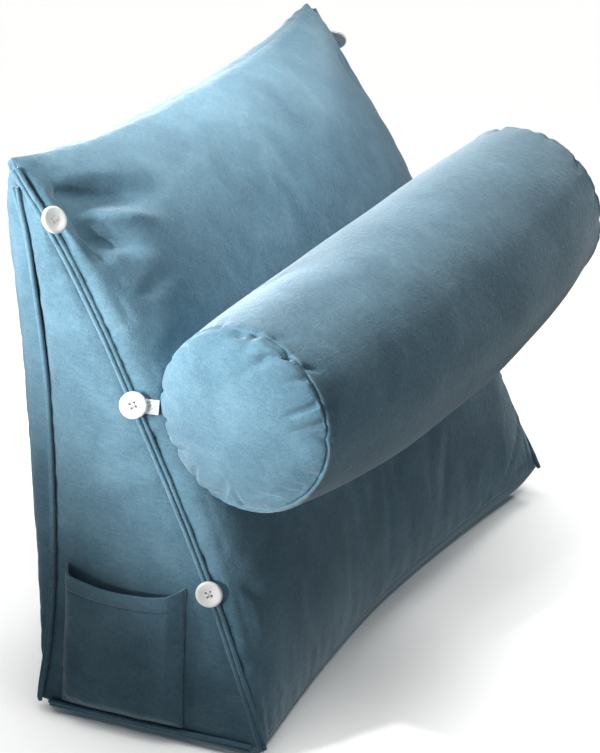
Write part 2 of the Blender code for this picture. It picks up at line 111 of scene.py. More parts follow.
# Brushed short-pile suede cloth, a polyester microfibre. The pile gives a soft bright edge where
# it is seen along the surface, cloudy patches where it lies brushed one way, and a fine grain.
suede = {
    "deep": "#4E6E80",  # pile brushed towards the eye
    "middle": "#608496",
    "pale": "#7598AA",  # pile brushed away
    "stops": (0.36, 0.51, 0.66),  # of deep, middle and pale
    "cloud": (46.0, 4.0, 0.55, 0.6),
    "mottle": (7.5, 3.0, 0.6, 1.2),
    "streak": (2.6, 2.0, 0.5, 0.0),
    "grain": (1.15, 2.0, 0.6, 0.0),  # the real pile is 0.3 mm, drawn coarser so that it shows
    "combed": (1.0, 0.28, 1.0),  # how the streaks are drawn out
    "shares": {"mottle": 0.26, "streak": 0.22, "grain": 0.30},
    "mottleBump": (0.55, 0.0011),  # strength and height
    "grainBump": (0.7, 0.0006),
    "roughness": (0.87, 0.97),
    "sheen": 1.0,
    "sheenRoughness": 0.38,
    "sheenTint": "#DCE9F0",
}


def makeSuede(name, turn=(0.0, 0.0, 0.0), shade=1.0):
    material, tree, shader, place = newMaterial(name)
    turned = addNode(tree, "ShaderNodeMapping", {"Rotation": turn, "Vector": place})
    turned = turned.outputs["Vector"]
    combed = addNode(tree, "ShaderNodeMapping", {"Scale": suede["combed"], "Vector": turned})
    layers = {key: noiseNode(tree, turned, suede[key]) for key in ("cloud", "mottle", "grain")}
    layers["streak"] = noiseNode(tree, combed.outputs["Vector"], suede["streak"])
    # Cloud, mottle, streak and grain add up to how far the pile is brushed
    brushed = layers["cloud"]
    for key, share in suede["shares"].items():
        mixed = addNode(tree, "ShaderNodeMix", {
            "data_type": "FLOAT", "Factor": share, "A": brushed, "B": layers[key],
        })
        brushed = mixed.outputs["Result"]
    deep, middle, pale = (linearColour(suede[key], shade) for key in ("deep", "middle", "pale"))
    low, half, high = suede["stops"]
    soft = bumpNode(tree, layers["mottle"], *suede["mottleBump"])
    setInputs(tree, shader, {
        "Base Color": rampNode(tree, brushed, ((low, deep), (high, pale), (half, middle))),
        "Normal": bumpNode(tree, layers["grain"], *suede["grainBump"], soft),
        "Roughness": rangeNode(tree, layers["grain"], *suede["roughness"]),
        "Specular IOR Level": 0.2,
        "Sheen Weight": suede["sheen"],
        "Sheen Roughness": suede["sheenRoughness"],
        "Sheen Tint": linearColour(suede["sheenTint"]),
    })
    return material


suedeWedge = makeSuede("brushed_suede_wedge")
suedeBolster = makeSuede("brushed_suede_bolster", turn=(0.3, 0.9, 0.5))
# The welt is the wedge's suede painted 8 % lighter: a painted highlight for the sheen along its
# cords.
suedeWeltPaintedHighlight = makeSuede("brushed_suede_welt_painted_highlight", turn=(0.0, 0.4, 1.1), shade=1.08)
# The pocket is the same suede painted 3 % darker: painted shade for its place low on the side.
suedePocketPaintedShade = makeSuede("brushed_suede_pocket_painted_shade", turn=(1.2, 0.0, 0.3), shade=0.97)


def makeButtonPlastic():
    # Cast polyester resin, polished in a tumbler: glossy and faintly see-through at the edge
    material, tree, shader, place = newMaterial("polished_polyester_resin")
    marble = noiseNode(tree, place, (9.0, 3.0, 0.5, 0.8))
    scuff = noiseNode(tree, place, (1.2, 2.0, 0.5, 0.0))
    tints = (0.0, linearColour("#E6E6E6")), (1.0, linearColour("#F7F7F6"))
    setInputs(tree, shader, {
        "Base Color": rampNode(tree, marble, tints),
        "Roughness": rangeNode(tree, scuff, 0.26, 0.42),
        "IOR": 1.53,
        "Subsurface Weight": 0.08,
        "Subsurface Radius": (0.002, 0.002, 0.002),
    })
    return material


def makeWoven(name, hexCode, halfRibMm, height, roughness):
    # Twisted or woven yarn: matt, with fine ribs that catch the light, and painted shade that
    # darkens the colour in the grooves between them. The ribs lie a little more than two half ribs
    # apart.
    material, tree, shader, place = newMaterial(name)
    ribs = addNode(tree, "ShaderNodeTexWave", {
        "bands_direction": "DIAGONAL", "Scale": 1000 / halfRibMm / 6.283, "Distortion": 1.5,
        "Detail": 1.0, "Vector": place,
    }).outputs["Fac"]
    # Painted shade: the colour is 18 % darker in the grooves between the ribs.
    tints = (0.0, linearColour(hexCode, 0.82)), (1.0, linearColour(hexCode))
    setInputs(tree, shader, {
        "Base Color": rampNode(tree, ribs, tints),
        "Normal": bumpNode(tree, ribs, 0.6, height),
        "Roughness": roughness,
        "Sheen Weight": 0.2,
    })
    return material


resin = makeButtonPlastic()
elasticWoven = makeWoven("woven_elastic", "#F2F2F0", 0.9, 0.0003, 0.8)
threadWhite = makeWoven("polyester_thread_white", "#EFEFEC", 0.5, 0.0002, 0.6)
threadBlue = makeWoven("polyester_thread_blue", "#6C93A8", 0.5, 0.0002, 0.6)
print("materials made:", len(bpy.data.materials))


# Meshes and pieces

def joinGrids(grids):
    # The points of some grids in one list, the faces between them, and where each grid starts
    starts = np.cumsum([0] + [grid[..., 0].size for grid in grids])
    faces = []
    for grid, start in zip(grids, starts):
        index = np.arange(grid[..., 0].size).reshape(grid.shape[:2]) + start
        corners = [index[:-1, :-1], index[1:, :-1], index[1:, 1:], index[:-1, 1:]]
        faces.append(np.stack(corners, -1).reshape(-1, 4))
    return np.concatenate([grid.reshape(-1, 3) for grid in grids]), np.concatenate(faces), starts


def shapeOf(points, faces):
    mesh = bpy.data.meshes.new("points")
    mesh.from_pydata(points, [], faces)
    shape = bmesh.new()
    shape.from_mesh(mesh)
    bpy.data.meshes.remove(mesh)
    return shape


def pointsOf(mesh):
    points = np.empty(len(mesh.vertices) * 3, np.float32)
    mesh.vertices.foreach_get("co", points)
    return points.reshape(-1, 3)


def gridMesh(grids):
    # One mesh from several grids of points, sewn where their edge points meet
    points, faces, _ = joinGrids(grids)
    shape = shapeOf(points.tolist(), faces.tolist())
    bmesh.ops.remove_doubles(shape, verts=shape.verts, dist=5e-6)
    bmesh.ops.dissolve_degenerate(shape, edges=shape.edges, dist=1e-7)
    bmesh.ops.recalc_face_normals(shape, faces=shape.faces)
    return shape


def meshOf(name, shape):
    mesh = bpy.data.meshes.new(name)
    shape.to_mesh(mesh)
    shape.free()
    return mesh


def addObject(name, data):
    obj = bpy.data.objects.new(name, data)
    bpy.context.scene.collection.objects.link(obj)
    return obj


def builtMesh(obj):
    # The plain mesh that an object's modifiers make
    bpy.context.view_layer.update()
    evaluated = obj.evaluated_get(bpy.context.evaluated_depsgraph_get())
    return bpy.data.meshes.new_from_object(evaluated)


def newPiece(name, shape, material, replaced=()):
    mesh = meshOf(name, shape)
    mesh.shade_smooth()
    mesh.materials.append(material)
    return finishPiece(addObject(name, mesh), replaced)


def finishPiece(piece, replaced=()):
    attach(piece, "root")
    if replaced:
        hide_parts(*replaced)
    return piece


def unit(vectors):
    return vectors / np.linalg.norm(vectors, axis=-1, keepdims=True)


def blend(first, last, share):
    return first * (1 - share)[..., None] + last * share[..., None]


def normalsOf(grid):
    # Outward way at each point of a grid, by the order of its rows and columns
    down = np.gradient(grid, axis=0)
    along = np.gradient(grid, axis=1)
    normal = np.cross(down, along)
    return normal / np.maximum(np.linalg.norm(normal, axis=-1, keepdims=True), 1e-12)


def runLength(grid, axis):
    # Length along the surface from the first row or column
    steps = np.linalg.norm(np.diff(grid, axis=axis), axis=-1)
    first = np.zeros_like(np.take(steps, [0], axis=axis))
    return np.concatenate([first, np.cumsum(steps, axis=axis)], axis=axis)


def softNoise(u, v, seed):
    # Smooth noise of two lengths given in wavelengths
    flat = [noise.noise((float(a), float(b), seed)) for a, b in zip(u.ravel(), v.ravel())]
    return np.array(flat).reshape(u.shape)


# Cloth simulation. A coarse copy of a cover, cut a little large and held at its seams, is blown up
# by its filling for some frames. The wrinkles that form are then laid on the fine mesh.
blown = {
    "pressure": 4.0,
    "spare": 0.016,  # share that the cloth is larger than its place
    "frames": 20,
    "mostMove": 0.009,
    "mass": 0.3,
    "stretch": 15.0,
    "bending": 0.25,
    "quality": 6,
    "slowRounds": 14,  # of smoothing that leave only the slow swell
    "seamFade": 0.02,  # share of a panel over which the wrinkles fade to nothing at a seam
}


def blowUp(grids, held):
    # Simulates grids sewn together, held where their masks say so. Returns each point's move.
    points, faces, starts = joinGrids(grids)
    places, index = np.unique(np.round(points, 6), axis=0, return_inverse=True)
    index = index.ravel()
    # A side of no length at a pole or a corner is left out of its face
    rings = [list(dict.fromkeys(face)) for face in index[faces].tolist()]
    shape = shapeOf(places.tolist(), [ring for ring in rings if len(ring) > 2])
    bmesh.ops.recalc_face_normals(shape, faces=shape.faces)
    obj = addObject("blown", meshOf("blown", shape))
    pins = obj.vertex_groups.new(name="held")
    pinned = np.unique(index[np.concatenate([mask.ravel() for mask in held])])
    pins.add(pinned.tolist(), 1.0, "REPLACE")
    cloth = obj.modifiers.new("cloth", "CLOTH")
    settings = cloth.settings
    settings.quality, settings.mass = blown["quality"], blown["mass"]
    settings.tension_stiffness = settings.compression_stiffness = blown["stretch"]
    settings.bending_stiffness = blown["bending"]
    settings.vertex_group_mass = "held"
    settings.shrink_min = -blown["spare"]
    settings.use_pressure, settings.uniform_pressure_force = True, blown["pressure"]
    settings.effector_weights.gravity = 0.0
    cloth.collision_settings.use_collision = False
    cloth.point_cache.frame_start, cloth.point_cache.frame_end = 1, blown["frames"]
    for moment in range(1, blown["frames"] + 1):
        bpy.context.scene.frame_set(moment)
    result = obj.evaluated_get(bpy.context.evaluated_depsgraph_get()).to_mesh()
    moved = pointsOf(result) - places
    far = np.linalg.norm(moved, axis=1, keepdims=True)
    moved *= np.minimum(1.0, blown["mostMove"] / np.maximum(far, 1e-9))
    bpy.data.objects.remove(obj, do_unlink=True)
    bpy.context.scene.frame_set(1)
    parts = np.split(moved[index], starts[1:-1])
    return [part.reshape(grid.shape) for part, grid in zip(parts, grids)]


def wrinkles(moved, normals):
    # Keeps what moved square to the skin, without the slow swell over the whole panel
    rise = (moved * normals).sum(-1)
    slow = rise
    for _ in range(2 * blown["slowRounds"]):  # down and across in turn
        wide = np.pad(slow, ((1, 1), (0, 0)), "edge")
        slow = ((wide[:-2] + 2 * wide[1:-1] + wide[2:]) / 4).T
    return rise - slow


def sampled(coarse, rows, columns):
    # Reads a coarse grid of values at rows and columns given as shares from 0 to 1
    y, x = rows * (coarse.shape[0] - 1), columns * (coarse.shape[1] - 1)
    y0 = np.clip(np.floor(y).astype(int), 0, coarse.shape[0] - 2)
    x0 = np.clip(np.floor(x).astype(int), 0, coarse.shape[1] - 2)
    v, u = y - y0, x - x0
    v, u = v * v * (3 - 2 * v), u * u * (3 - 2 * u)
    top = coarse[y0, x0] * (1 - u) + coarse[y0, x0 + 1] * u
    return top * (1 - v) + (coarse[y0 + 1, x0] * (1 - u) + coarse[y0 + 1, x0 + 1] * u) * v


# Wedge. Its corners, seams and crowns are those of the model that it dresses.
wedge = {
    "width": 0.500,
    "height": 0.460,
    "depth": 0.200,
    "cornerLift": 0.003,
    "cornerPull": {
        "topLeft": (0.0071, -0.0098, -0.0004),
        "topRight": (-0.0058, 0.0015, -0.0153),
        "backLeft": (-0.0030, 0.0012, 0.0075),
        "backRight": (0.0036, 0.0039, 0.0075),
        "frontLeft": (-0.0017, 0.0030, 0.0080),
        "frontRight": (0.0096, -0.0071, 0.0209),
    },
    "seamBow": {  # inwards, y, z, roundness
        "sideFront": (0.0122, -0.0066, 0.0029, 2.59),
        "sideBack": (0.0163, -0.0135, 0.0, 2.47),
        "ridge": (0.0, -0.0133, -0.0144, 3.16),
        "baseFront": (0.0, 0.0238, 0.0, 1.67),
        "baseBack": (0.0, -0.0238, 0.0, 1.67),
        "baseSide": (0.0, 0.0, 0.0, 2.0),
    },
    "crown": {  # height, roundness and edge power across, then down, middle shift
        "front": (0.0483, 3.04, 0.30, 2.74, 0.76, 0.78),
        "back": (0.0619, 3.04, 0.30, 2.74, 0.76, 0.78),
        "side": (0.0100, 3.0, 0.60, 3.0, 0.60, 1.30),
    },
    "baseRoll": 0.028,
    "across": 150,
    "down": 150,
    "through": 60,
    # Folds of the front, in mm from the left seam and down from the ridge:
    # start, end, half width at each, and depth, below zero where the cloth stands up
    "folds": {
        "earHollow": ((15, 30), (18, 100), 28, 28, 15.0),
        "earHollowRight": ((485, 30), (482, 100), 28, 28, 10.0),
        "earFold": ((12, 36), (84, 58), 9, 14, 14.0),
        "leafRidge": ((20, 60), (78, 78), 5, 9, -6.0),
        "leafValley": ((14, 76), (46, 96), 6, 9, 9.0),
        "leafBulge": ((30, 100), (60, 108), 9, 12, -2.0),
        "upperCrease": ((20, 132), (66, 120), 4, 8, 3.0),
        "seamCrease": ((16, 182), (44, 172), 4, 7, 2.4),
        "lowCrease": ((10, 372), (30, 392), 4, 7, 2.0),
    },
    "puckerMm": 11.0,
    "puckerReach": 0.020,
    "puckerDepth": 0.00176,
    "edgeFade": 0.004,
    "lumpMm": 85.0,
    "lumpDepth": 0.0016,
    "blownSteps": (84, 84, 34),  # of the simulated copy, across, down and through
    "blownShare": 0.42,
    "underBolster": 0.004,  # how close to the bolster the simulated cloth is held by it
}
frontWay = unit(np.array([0.0, -wedge["height"], wedge["depth"]]))
backWay = np.array([0.0, 1.0, 0.0])
panelWays = frontWay, backWay, np.array([-1.0, 0.0, 0.0]), np.array([1.0, 0.0, 0.0])

# Bolster, with its middle sagging between its ends
bolster = {
    "length": 0.4630,
    "seamRadius": 0.0727,
    "middleRadius": 0.0850,
    "roundness": 2.4,
    "dome": 0.0198,
    "domeRoundness": 1.7,
    "centre": (-0.0010, -0.0993, 0.2815),
    "pitch": math.radians(-1.6),
    "yaw": math.radians(-3.0),
    "sag": (-0.0040, -0.0085),
    "pressedShare": 0.5,
    "contactGap": 0.0012,
    "around": 264,
    "finestMm": 0.35,  # between the rings of points at a cap seam
    "widest": (2.0, 3.4),  # and at most, in mm, on a cap and on the body
    "seamTilt": (0.0075, 80.0),  # how far the left cap seam leans off square, and the way it leans
    "seamReach": 0.06,  # over which that lean fades
    "groove": 0.0013,
    "grooveWidth": 0.0010,
    "lip": (0.0007, 0.0022, 0.0011),  # height, distance from the seam and width
    "smoothMiddle": 0.012,
    # Creases of the gathered cap: from degrees round, from the wedge side over the top, and mm
    # in from the seam, to degrees and mm at the far end, then half width and depth in mm
    "creaseScale": 2.3,
    "creases": [
        (90, 6, 66, 22, 6.5, 2.3), (99, 1, 98, 17, 3.6, 1.7), (124, 2, 112, 18, 2.6, 2.2),
        (112, 18, 100, 33, 4.0, 1.0), (140, 4, 134, 17, 2.0, 1.1), (156, 5, 156, 26, 2.3, 1.4),
        (168, 4, 169, 25, 2.3, 1.3), (180, 1, 174, 15, 4.2, 1.6), (204, 3, 206, 18, 2.3, 1.1),
        (216, 6, 219, 18, 1.7, 1.0), (222, 4, 229, 15, 1.7, 1.0), (239, 9, 259, 24, 2.3, 1.1),
        (134, -3, 140, -14, 1.9, 1.1), (110, -4, 114, -16, 3.5, 0.8), (160, -2, 162, -11, 2.5, 0.6),
        (272, 3, 276, 19, 2.2, 1.0), (290, 2, 285, 24, 3.0, 1.3), (311, 4, 314, 17, 2.0, 0.9),
        (334, 2, 330, 21, 2.8, 1.2), (352, 4, 356, 18, 2.2, 1.0), (12, 2, 8, 23, 2.8, 1.3),
        (33, 5, 36, 19, 2.2, 1.0), (51, 2, 50, 24, 3.2, 1.4), (73, -3, 70, -15, 3.0, 0.9),
        (28, -4, 30, -13, 2.4, 0.7), (300, -3, 297, -14, 2.6, 0.8),
    ],
    "rippleMm": 5.0,
    "rippleDepth": 0.00070,
    "rippleReach": 0.007,
    "lumpMm": 70.0,
    "lumpDepth": 0.0012,
}


def cornerPoint(name):
    x = wedge["width"] / 2 * (1 if name.endswith("Right") else -1)
    y = wedge["depth"] / 2 * (-1 if name.startswith("front") else 1)
    z = wedge["height"] if name.startswith("top") else 0.0
    return np.array([x, y, z + wedge["cornerLift"]]) + wedge["cornerPull"][name]


def seamLine(start, end, bowName, inward=1):
    bowX, bowY, bowZ, roundness = wedge["seamBow"][bowName]
    bow = np.array([inward * bowX, bowY, bowZ])
    first, last = cornerPoint(start), cornerPoint(end)

    def points(t):
        t = np.asarray(t, float)[..., None]
        return first * (1 - t) + last * t + bow * (1 - np.abs(2 * t - 1) ** roundness)

    return points


def swell(t, roundness, power):
    return np.maximum(0.0, 1 - np.abs(2 * t - 1) ** roundness) ** power


def crownHeight(panel, across, down):
    height, roundAcross, edgeAcross, roundDown, edgeDown, shift = wedge["crown"][panel]
    height = height * swell(across, roundAcross, edgeAcross)
    return height * swell(down ** shift, roundDown, edgeDown)


def sewnSheet(top, bottom, left, right, across, down):
    a, d = across[..., None], down[..., None]
    ruled = top(across) * (1 - d) + bottom(across) * d + left(down) * (1 - a) + right(down) * a
    corners = top(0.0) * (1 - a) * (1 - d) + top(1.0) * a * (1 - d)
    return ruled - corners - bottom(0.0) * (1 - a) * d - bottom(1.0) * a * d


seams = {
    "ridge": seamLine("topLeft", "topRight", "ridge"),
    "baseFront": seamLine("frontLeft", "frontRight", "baseFront"),
    "baseBack": seamLine("backLeft", "backRight", "baseBack"),
}
for side, sign in sides.items():
    end = side.capitalize()
    seams["sideFront" + end] = seamLine("top" + end, "front" + end, "sideFront", -sign)
    seams["sideBack" + end] = seamLine("top" + end, "back" + end, "sideBack", -sign)
    seams["baseSide" + end] = seamLine("back" + end, "front" + end, "baseSide", -sign)


def seamSteps(count):
    # Grid lines from 0 to 1, closer together near the seams
    return 0.5 - 0.5 * np.cos(np.pi * np.arange(count + 1) / count)


def seamGrid(acrossCount, downCount):
    return np.meshgrid(seamSteps(acrossCount), seamSteps(downCount))


bolsterTurn = np.array(Euler((0.0, bolster["pitch"], bolster["yaw"])).to_matrix())
bolsterCentre = np.array(bolster["centre"])


def bolsterRadius(along):
    full = 1 - np.abs(2 * along) ** bolster["roundness"]
    return bolster["seamRadius"] + (bolster["middleRadius"] - bolster["seamRadius"]) * full


def bolsterSag(along):
    return np.maximum(0.0, 1 - (2 * along) ** 2)[..., None] * np.array(bolster["sag"])


def bolsterPress(points):
    # How far the front has to go in to leave the bolster round
    local = (points - bolsterCentre) @ bolsterTurn
    along = local[..., 0] / bolster["length"]
    across = local[..., 1:] - bolsterSag(along)
    way = (frontWay @ bolsterTurn)[1:]
    inside = (across ** 2).sum(-1) - bolsterRadius(np.clip(along, -0.5, 0.5)) ** 2
    touched = (np.abs(along) <= 0.5) & (inside < 0)
    towards = across @ way
    depth = (towards + np.sqrt(np.maximum(towards ** 2 - (way @ way) * inside, 0))) / (way @ way)
    return np.where(touched, depth, 0.0)


def foldDepth(across, down):
    x, y = across * wedge["width"] * 1000, down * math.hypot(wedge["height"], wedge["depth"]) * 1000
    total = np.zeros_like(x)
    for (x0, y0), (x1, y1), width0, width1, depth in wedge["folds"].values():
        run = np.array([x1 - x0, y1 - y0], float)
        share = np.clip(((x - x0) * run[0] + (y - y0) * run[1]) / (run @ run), 0, 1)
        away = np.hypot(x - x0 - run[0] * share, y - y0 - run[1] * share)
        width = width0 + (width1 - width0) * share
        total += depth * np.exp(-(away / width) ** 2) * np.sin(np.pi * (0.1 + 0.8 * share))
    return total / 1000


def roughenPanel(grid, seed, amount=1.0):
    # Lumps of the filling, and puckers where the cloth is gathered into its seams
    fromLeft, fromTop = runLength(grid, 1), runLength(grid, 0)
    fromRight, fromBottom = fromLeft[:, -1:] - fromLeft, fromTop[-1:, :] - fromTop
    wave = wedge["puckerMm"] / 1000
    move = np.zeros(grid.shape[:2])
    for away, along, step in (
        (fromLeft, fromTop, 0.0), (fromRight, fromTop, 7.3),
        (fromTop, fromLeft, 3.1), (fromBottom, fromLeft, 5.7),
    ):
        fade = np.exp(-away / wedge["puckerReach"])
        pucker = softNoise(along / wave, away / (wave * 5), seed + step)
        pucker += 0.5 * softNoise(along / wave * 2.3, away / (wave * 5), seed + step + 20)
        move += wedge["puckerDepth"] * fade * pucker
    lump = wedge["lumpMm"] / 1000
    move += wedge["lumpDepth"] * softNoise(fromLeft / lump, fromTop / lump, seed + 40)
    edge = np.minimum.reduce([fromLeft, fromRight, fromTop, fromBottom])
    return move * np.clip(edge / wedge["edgeFade"], 0, 1) * amount


def wedgeSheets(wide, side, base):
    # Front, back, left, right and base, each from a pair of grids of shares
    a, d = wide
    front, back = (
        sewnSheet(*(seams[key] for key in (
            "ridge", "base" + face, f"side{face}Left", f"side{face}Right",
        )), a, d)
        for face in ("Front", "Back")
    )
    front = front + frontWay * crownHeight("front", a, d)[..., None]
    back = back + backWay * crownHeight("back", a, d)[..., None]
    edge = np.minimum.reduce([np.ones_like(a), a / 0.03, (1 - a) / 0.03, d / 0.04, (1 - d) / 0.04])
    pressed = bolster["pressedShare"] * bolsterPress(front) + edge * foldDepth(a, d)
    sheets = [front - frontWay * pressed[..., None], back]
    a, d = side
    for label, sign in sides.items():
        end = label.capitalize()
        backEdge, frontEdge = seams["sideBack" + end](d), seams["sideFront" + end](d)
        panel = blend(backEdge, frontEdge, a)
        panel[..., 0] += sign * crownHeight("side", a, d)
        sheets.append(panel)
    a, t = base
    foot = blend(seams["baseBack"](a), seams["baseFront"](a), t)
    flat = np.ones_like(a)
    for share, size in ((a, "width"), (1 - a, "width"), (t, "depth"), (1 - t, "depth")):
        left = 1 - np.minimum(1.0, np.round(share * wedge[size], 6) / wedge["baseRoll"])
        flat *= np.sqrt(1 - left * left)
    foot[..., 2] *= 1 - flat
    sheets.append(foot)
    return sheets


def outwardOf(grid, way):
    normal = normalsOf(grid)
    return normal * (np.sign((normal * way).sum(-1, keepdims=True)) + 1e-9)


def blownWedge():
    # What the simulation adds to the front, back, left and right panels
    across, down, through = (np.linspace(0, 1, count + 1) for count in wedge["blownSteps"])
    coarse = wedgeSheets(
        np.meshgrid(across, down), np.meshgrid(through, down), np.meshgrid(across, through)
    )
    held = []
    for grid in coarse:
        mask = np.ones(grid.shape[:2], bool)
        mask[1:-1, 1:-1] = False
        held.append(mask)
    held[0] |= bolsterPress(coarse[0] + frontWay * wedge["underBolster"]) > 0
    held[4][:] = True  # the base, which lies on the floor
    moved = zip(blowUp(coarse, held), coarse, panelWays)
    return [wrinkles(moves, outwardOf(grid, way)) for moves, grid, way in moved]


def makeWedge():
    wide = seamGrid(wedge["across"], wedge["down"])
    side = seamGrid(wedge["through"], wedge["down"])
    sheets = wedgeSheets(wide, side, seamGrid(wedge["across"], wedge["through"]))
    added = blownWedge()
    rises = [round(1000 * float(np.abs(rise).max()), 1) for rise in added or ()]
    print("wedge blown up, mm:", rises or "skipped")
    for number, (seed, amount) in enumerate(((1.0, 1.0), (60.0, 1.0), (119.0, 0.7), (121.0, 0.7))):
        move = roughenPanel(sheets[number], seed, amount)
        if added is not None:
            a, d = wide if number < 2 else side
            edge = np.minimum.reduce([a, 1 - a, d, 1 - d])
            fade = np.sin(np.minimum(1.0, edge / blown["seamFade"]) * np.pi / 2) ** 2
            move = move + wedge["blownShare"] * fade * sampled(added[number], d, a)
        outward = outwardOf(sheets[number], panelWays[number])
        sheets[number] = sheets[number] + outward * move[..., None]
    shape = gridMesh(sheets)
    tree = BVHTree.FromBMesh(shape)
    piece = newPiece("wedge_cover", shape, suedeWedge, ["wedge_cushion"])
    return piece, tree


wedgePiece, wedgeTree = makeWedge()
print("wedge sewn:", len(wedgePiece.data.polygons), "faces")


def ringRuns(length, widest):
    # Distances from a seam, finest at it
    runs, step = [0.0], bolster["finestMm"] / 1000
    while runs[-1] < length:
        runs.append(runs[-1] + step)
        step = min(step * 1.13, widest / 1000)
    return np.array(runs) * length / runs[-1]


def creaseDepth(aroundAngle, inward):
    # Depth of the creases at places given by their angle and their distance in from a cap seam
    total = np.zeros_like(inward)
    for degrees0, reach0, degrees1, reach1, width, depth in bolster["creases"]:
        turn = (aroundAngle - math.radians(degrees0) + np.pi) % (2 * np.pi) - np.pi
        x, y = turn * bolster["seamRadius"] * 1000, inward * 1000 - reach0
        runX = math.radians(degrees1 - degrees0) * bolster["seamRadius"] * 1000
        runY = reach1 - reach0
        share = np.clip((x * runX + y * runY) / (runX ** 2 + runY ** 2), 0, 1)
        away = np.hypot(x - runX * share, y - runY * share) / (width * (1 + 0.5 * share))
        total += bolster["creaseScale"] * depth / 1000 * np.exp(-away ** 2) * (1 - 0.65 * share)
    return total


def makeBolster():
    # Rings of points from the middle of the left cap to that of the right
    half = bolster["length"] / 2
    turn = np.linspace(0, np.pi / 2, 400)
    power = 2 / bolster["domeRoundness"]
    body = np.linspace(-half, half, 1201)[1:-1]
    capAlong = half + bolster["dome"] * np.cos(turn) ** power
    capRadius = bolster["seamRadius"] * np.sin(turn) ** power
    skin = np.stack([
        np.concatenate([-capAlong, body, capAlong[::-1]]),
        np.concatenate([capRadius, bolsterRadius(body / bolster["length"]), capRadius[::-1]]),
    ], 1)
    skinRun = runLength(skin, 0)
    total = skinRun[-1]
    seamRun = skinRun[len(turn) - 1]
    onCap = ringRuns(seamRun, bolster["widest"][0])
    onBody = ringRuns(total / 2 - seamRun, bolster["widest"][1])
    firstHalf = np.concatenate([seamRun - onCap[::-1], seamRun + onBody[1:]])
    run = np.concatenate([firstHalf, total - firstHalf[-2::-1]])
    angle = np.linspace(0, 2 * np.pi, bolster["around"] + 1)
    S, G = np.meshgrid(run, angle, indexing="ij")
    inward = np.where(S < total / 2, seamRun - S, S - (total - seamRun))  # above zero on a cap
    # The rings lean with the seams, along the skin
    tilt, towards = bolster["seamTilt"]
    near = np.cos(np.minimum(1.0, np.abs(inward) / bolster["seamReach"]) * np.pi / 2) ** 2
    leftLean, rightLean = tilt * np.cos(G - math.radians(towards)), -0.5 * tilt * np.cos(G + 0.9)
    lean = np.where(S < total / 2, leftLean, rightLean)
    placed = np.clip(S + lean * near, 0, total)
    A = np.interp(placed, skinRun, skin[:, 0])
    R = np.interp(placed, skinRun, skin[:, 1])
    move = -bolster["groove"] * np.exp(-(inward / bolster["grooveWidth"]) ** 2)
    lipHeight, lipPlace, lipWidth = bolster["lip"]
    move += lipHeight * np.exp(-((inward + lipPlace) / lipWidth) ** 2)
    move -= creaseDepth(G, inward)
    turns = bolster["seamRadius"] / (bolster["rippleMm"] / 1000)
    ripples = softNoise(np.cos(G) * turns + S * 20, np.sin(G) * turns, 3.0)
    ripples *= np.exp(-np.abs(inward) / bolster["rippleReach"])
    move += bolster["rippleDepth"] * ripples * np.clip(np.abs(inward) / 0.002, 0, 1)
    lump = bolster["lumpMm"] / 1000
    flat = [
        noise.noise((float(a) / lump, r * math.cos(g) / lump, r * math.sin(g) / lump))
        for a, r, g in zip(A.ravel(), R.ravel(), G.ravel())
    ]
    move += bolster["lumpDepth"] * np.array(flat).reshape(G.shape)
    # The move is square to the skin
    slope = unit(np.gradient(skin, skinRun, axis=0))
    alongSlope = np.interp(placed, skinRun, slope[:, 0])
    radiusSlope = np.interp(placed, skinRun, slope[:, 1])
    move *= np.clip(R / bolster["smoothMiddle"], 0, 1)
    A = A - radiusSlope * move
    R = np.maximum(R + alongSlope * move, 0.0)
    R[0], R[-1] = 0.0, 0.0
    sag = bolsterSag(np.clip(A / bolster["length"], -0.5, 0.5))
    local = np.stack([A, sag[..., 0] + R * np.cos(G), sag[..., 1] + R * np.sin(G)], -1)
    local[:, -1] = local[:, 0]
    for end in (0, -1):
        local[end] = local[end].mean(0)
    points = local @ bolsterTurn.T + bolsterCentre
    way = Vector(frontWay)
    for index in np.ndindex(points.shape[:2]):
        point = Vector(points[index])
        hit = wedgeTree.ray_cast(point + way * 0.4, -way)[0]
        if hit is not None:
            short = bolster["contactGap"] - (point - hit).dot(way)
            if short > 0:
                points[index] = point + way * short
    shape = gridMesh([points])
    piece = newPiece("bolster_cover", shape, suedeBolster, ["bolster"])
    return piece


bolsterPiece = makeBolster()
print("bolster sewn:", len(bolsterPiece.data.polygons), "faces")


# Welts. A seam allowance is folded to both sides and topstitched, which leaves two cords with a
# groove between them.
welt = {
    "cordRadius": 0.0018,
    "cordSpread": 0.00185,
    "spacing": 0.004,
    "cornerGap": 0.009,
    "backStart": 0.022,
    "sink": 0.0004,
    "near": 0.009,  # reach within which the cover's faces give the way out
    "climb": 0.0002,  # steps by which a welt is lifted clear of the cover
    "mostClimb": 0.02,
    "stitchLength": 0.0026,
    "stitchGap": 0.0010,
    "stitchRadius": 0.00042,
}


def evenPoints(curve, trimStart, trimEnd, spacing):
    fine = curve(np.linspace(0, 1, 801))
    run = runLength(fine, 0)
    count = round((run[-1] - trimStart - trimEnd) / spacing)
    wanted = np.linspace(trimStart, run[-1] - trimEnd, count + 1)
    return np.stack([np.interp(wanted, run, fine[:, i]) for i in range(3)], 1)


def smoothed(rows, rounds):
    rows = np.array(rows, float)
    for _ in range(rounds):
        rows[1:-1] = (rows[:-2] + rows[1:-1] * 2 + rows[2:]) / 4
    return rows


